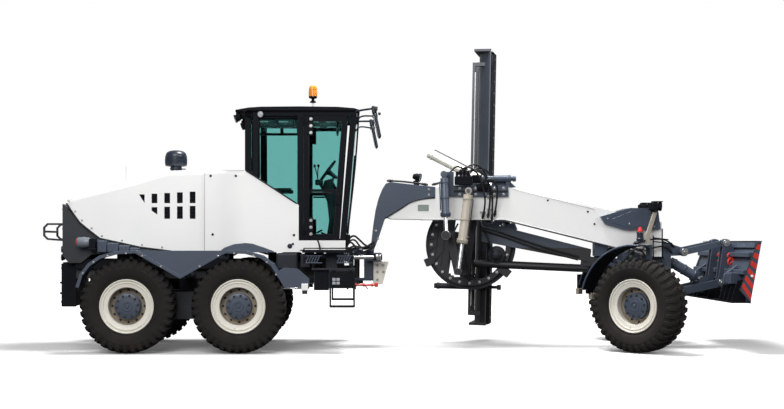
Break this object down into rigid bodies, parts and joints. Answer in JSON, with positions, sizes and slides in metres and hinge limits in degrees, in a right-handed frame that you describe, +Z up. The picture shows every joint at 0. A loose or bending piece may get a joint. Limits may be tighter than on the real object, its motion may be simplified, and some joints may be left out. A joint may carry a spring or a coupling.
{
  "type": "motor grader",
  "caption": "Articulated road grader with tandem drive, glazed cab, steered front wheels, moldboard stood upright for bank cutting and a front dozer blade.",
  "frame": {"origin": "bottom centre of the whole box, on the ground", "axes": "+X forward along the machine, +Y to its left, +Z up"},
  "size_m": [10.38, 3.3548, 4.6231],
  "materials": {
    "amber": "amber lens",
    "black_paint": "black satin paint",
    "cast": "engine casting",
    "chrome": "polished ram rod",
    "cream_paint": "cream-white wheel paint",
    "glass": "green tinted safety glass",
    "slate_paint": "dark slate blue-grey paint",
    "trim": "dark moulded trim",
    "tyre": "brown-black tyre rubber",
    "white_paint": "white body paint, semi-gloss"
  },
  "bodies": {
    "rear_frame": {"rear_chassis": "slate_paint", "engine_block": "cast", "hood": "white_paint", "cowl": "white_paint", "cab_shell": "black_paint", "cab_roof": "black_paint", "cab_glass": "glass", "cab_interior": "trim", "rear_fenders": "slate_paint", "access_steps": "slate_paint", "intake_and_exhaust": "black_paint", "beacon": "amber", "mirrors_and_lamps": "black_paint", "tandem_cases": "slate_paint", "rear_axle": "slate_paint"},
    "front_frame": {"gooseneck": "slate_paint", "neck_foot": "cream_paint", "drawbar_ball": "slate_paint", "main_beam": "white_paint", "saddle": "slate_paint", "nose": "slate_paint", "headlamps": "black_paint", "front_axle": "slate_paint", "dozer_mount": "slate_paint"},
    "drawbar": {"drawbar": "slate_paint"},
    "circle": {"circle": "slate_paint"},
    "moldboard": {"moldboard": "slate_paint"},
    "dozer_arms": {"dozer_arms": "slate_paint"},
    "dozer_links": {"dozer_links": "slate_paint"},
    "dozer_blade": {"dozer_blade": "slate_paint"},
    "door_left": {"door_left": "black_paint", "door_left_glass": "glass"},
    "door_right": {"door_right": "black_paint", "door_right_glass": "glass"},
    "rear_wheel_left": {"rear_wheel_left_tyre": "tyre", "rear_wheel_left_rim": "cream_paint"},
    "middle_wheel_left": {"middle_wheel_left_tyre": "tyre", "middle_wheel_left_rim": "cream_paint"},
    "knuckle_left": {"knuckle_left": "slate_paint"},
    "front_wheel_left": {"front_wheel_left_tyre": "tyre", "front_wheel_left_rim": "cream_paint"},
    "rear_wheel_right": {"rear_wheel_right_tyre": "tyre", "rear_wheel_right_rim": "cream_paint"},
    "middle_wheel_right": {"middle_wheel_right_tyre": "tyre", "middle_wheel_right_rim": "cream_paint"},
    "knuckle_right": {"knuckle_right": "slate_paint"},
    "front_wheel_right": {"front_wheel_right_tyre": "tyre", "front_wheel_right_rim": "cream_paint"},
    "lift_near_barrel": {"lift_near_barrel": "white_paint"},
    "lift_near_rod": {"lift_near_rod": "chrome"},
    "lift_far_barrel": {"lift_far_barrel": "white_paint"},
    "lift_far_rod": {"lift_far_rod": "chrome"},
    "centre_shift_barrel": {"centre_shift_barrel": "slate_paint"},
    "centre_shift_rod": {"centre_shift_rod": "chrome"},
    "dozer_barrel": {"dozer_barrel": "slate_paint"},
    "dozer_rod": {"dozer_rod": "chrome"},
    "articulation_left_barrel": {"articulation_left_barrel": "slate_paint"},
    "articulation_left_rod": {"articulation_left_rod": "chrome"},
    "articulation_right_barrel": {"articulation_right_barrel": "slate_paint"},
    "articulation_right_rod": {"articulation_right_rod": "chrome"}
  },
  "joints": [
    {"name": "rear_wheel_left_spin", "type": "hinge", "parent": "rear_frame", "child": "rear_wheel_left", "pos_m": [-3.801, 1.065, 0.675], "axis": [0, 1, 0], "continuous": true},
    {"name": "middle_wheel_left_spin", "type": "hinge", "parent": "rear_frame", "child": "middle_wheel_left", "pos_m": [-2.219, 1.065, 0.675], "axis": [0, 1, 0], "continuous": true},
    {"name": "rear_wheel_right_spin", "type": "hinge", "parent": "rear_frame", "child": "rear_wheel_right", "pos_m": [-3.801, -1.065, 0.675], "axis": [0, 1, 0], "continuous": true},
    {"name": "middle_wheel_right_spin", "type": "hinge", "parent": "rear_frame", "child": "middle_wheel_right", "pos_m": [-2.219, -1.065, 0.675], "axis": [0, 1, 0], "continuous": true},
    {"name": "articulation", "type": "hinge", "parent": "rear_frame", "child": "front_frame", "pos_m": [-0.528, 0, 1.2], "axis": [0, 0, 1], "range_deg": [-20, 20]},
    {"name": "steering", "type": "hinge", "parent": "front_frame", "child": "knuckle_right", "pos_m": [3.69, -0.83, 0.675], "axis": [0, 0, 1], "range_deg": [-1, 89]},
    {"name": "steering_left", "type": "hinge", "parent": "front_frame", "child": "knuckle_left", "pos_m": [3.69, 0.83, 0.675], "axis": [0, 0, 1], "range_deg": [-1, 89]},
    {"name": "front_wheel_left_spin", "type": "hinge", "parent": "knuckle_left", "child": "front_wheel_left", "pos_m": [3.85324, 0.99904, 0.675], "axis": [0.6947, 0.7193, 0], "continuous": true},
    {"name": "front_wheel_right_spin", "type": "hinge", "parent": "knuckle_right", "child": "front_wheel_right", "pos_m": [3.52676, -0.99904, 0.675], "axis": [0.6947, 0.7193, 0], "continuous": true},
    {"name": "door_left_hinge", "type": "hinge", "parent": "rear_frame", "child": "door_left", "pos_m": [-1.307, 0.798, 2.5], "axis": [0, 0, 1], "range_deg": [0, 80]},
    {"name": "door_right_hinge", "type": "hinge", "parent": "rear_frame", "child": "door_right", "pos_m": [-1.307, -0.798, 2.5], "axis": [0, 0, -1], "range_deg": [0, 80]},
    {"name": "drawbar_lift", "type": "hinge", "parent": "front_frame", "child": "drawbar", "pos_m": [3.14, 0, 1.29], "axis": [0.23, 0.9732, 0], "range_deg": [-5, 4]},
    {"name": "circle_turn", "type": "hinge", "parent": "drawbar", "child": "circle", "pos_m": [1.23976, 0.4903, 1.54831], "axis": [0.23, 0.9732, 0], "range_deg": [-30, 30]},
    {"name": "moldboard_shift", "type": "slide", "parent": "circle", "child": "moldboard", "axis": [0.0195, -0.0046, 0.9998], "range_m": [-0.2, 0.3]},
    {"name": "dozer_lift", "type": "hinge", "parent": "front_frame", "child": "dozer_arms", "pos_m": [4.29, 0, 0.845], "axis": [0, 1, 0], "range_deg": [-6, 66]},
    {"name": "dozer_link_turn", "type": "hinge", "parent": "front_frame", "child": "dozer_links", "pos_m": [4.36, 0, 1.439], "axis": [0, 1, 0], "range_deg": [-6, 66]},
    {"name": "dozer_blade_turn", "type": "hinge", "parent": "dozer_arms", "child": "dozer_blade", "pos_m": [4.91, 0, 0.981], "axis": [0, 1, 0], "range_deg": [-66, 6]},
    {"name": "lift_near_ram_turn", "type": "hinge", "parent": "front_frame", "child": "lift_near_barrel", "pos_m": [1.13056, -0.4, 2.35], "axis": [0.23, 0.9732, 0], "range_deg": [-1.76, 1.43]},
    {"name": "lift_near_ram_stroke", "type": "slide", "parent": "lift_near_barrel", "child": "lift_near_rod", "axis": [-0.124, 0.0293, -0.9919], "range_m": [-0.1394, 0.174]},
    {"name": "lift_far_ram_turn", "type": "hinge", "parent": "front_frame", "child": "lift_far_barrel", "pos_m": [1.17056, 0.518, 2.678], "axis": [0.23, 0.9732, 0], "range_deg": [-8.47, 10.56]},
    {"name": "lift_far_ram_stroke", "type": "slide", "parent": "lift_far_barrel", "child": "lift_far_rod", "axis": [0.8614, -0.2036, -0.4654], "range_m": [-0.0205, 0.0166]},
    {"name": "centre_shift_ram_turn", "type": "hinge", "parent": "front_frame", "child": "centre_shift_barrel", "pos_m": [0.76056, -0.48, 2.59], "axis": [0.23, 0.9732, 0], "range_deg": [-2.04, 2.53]},
    {"name": "centre_shift_ram_stroke", "type": "slide", "parent": "centre_shift_barrel", "child": "centre_shift_rod", "axis": [0.0333, -0.0079, -0.9994], "range_m": [-0.1524, 0.1903]},
    {"name": "dozer_ram_turn", "type": "hinge", "parent": "front_frame", "child": "dozer_barrel", "pos_m": [4.18, 0, 1.32], "axis": [0, 1, 0], "range_deg": [-2.99, 31.9]},
    {"name": "dozer_ram_stroke", "type": "slide", "parent": "dozer_barrel", "child": "dozer_rod", "axis": [0.8643, 0, -0.5029], "range_m": [-0.0289, 0.3081]},
    {"name": "articulation_left_ram_turn", "type": "hinge", "parent": "rear_frame", "child": "articulation_left_barrel", "pos_m": [-1.25, 0.52, 1.36], "axis": [0, 0, 1], "range_deg": [-4.6, 4.6]},
    {"name": "articulation_left_ram_stroke", "type": "slide", "parent": "articulation_left_barrel", "child": "articulation_left_rod", "axis": [0.9779, -0.2089, 0], "range_m": [-0.1249, 0.1249]},
    {"name": "articulation_right_ram_turn", "type": "hinge", "parent": "rear_frame", "child": "articulation_right_barrel", "pos_m": [-1.25, -0.52, 1.36], "axis": [0, 0, 1], "range_deg": [-4.6, 4.6]},
    {"name": "articulation_right_ram_stroke", "type": "slide", "parent": "articulation_right_barrel", "child": "articulation_right_rod", "axis": [0.9779, 0.2089, 0], "range_m": [-0.1249, 0.1249]}
  ],
  "couplings": [
    {"joint": "steering_left", "follows": "steering", "ratio": 1},
    {"joint": "dozer_link_turn", "follows": "dozer_lift", "ratio": 1},
    {"joint": "dozer_blade_turn", "follows": "dozer_lift", "ratio": -1},
    {"joint": "lift_near_ram_turn", "follows": "drawbar_lift", "ratio": 0.33259},
    {"joint": "lift_near_ram_stroke", "follows": "drawbar_lift", "m_per_rad": -1.9822},
    {"joint": "lift_far_ram_turn", "follows": "drawbar_lift", "ratio": -2.0915},
    {"joint": "lift_far_ram_stroke", "follows": "drawbar_lift", "m_per_rad": 0.22299},
    {"joint": "centre_shift_ram_turn", "follows": "drawbar_lift", "ratio": -0.48563},
    {"joint": "centre_shift_ram_stroke", "follows": "drawbar_lift", "m_per_rad": -2.1693},
    {"joint": "dozer_ram_turn", "follows": "dozer_lift", "ratio": 0.48176},
    {"joint": "dozer_ram_stroke", "follows": "dozer_lift", "m_per_rad": 0.26657},
    {"joint": "articulation_left_ram_turn", "follows": "articulation", "ratio": 0.22521},
    {"joint": "articulation_left_ram_stroke", "follows": "articulation", "m_per_rad": -0.35503},
    {"joint": "articulation_right_ram_turn", "follows": "articulation", "ratio": 0.22521},
    {"joint": "articulation_right_ram_stroke", "follows": "articulation", "m_per_rad": 0.35503}
  ]
}
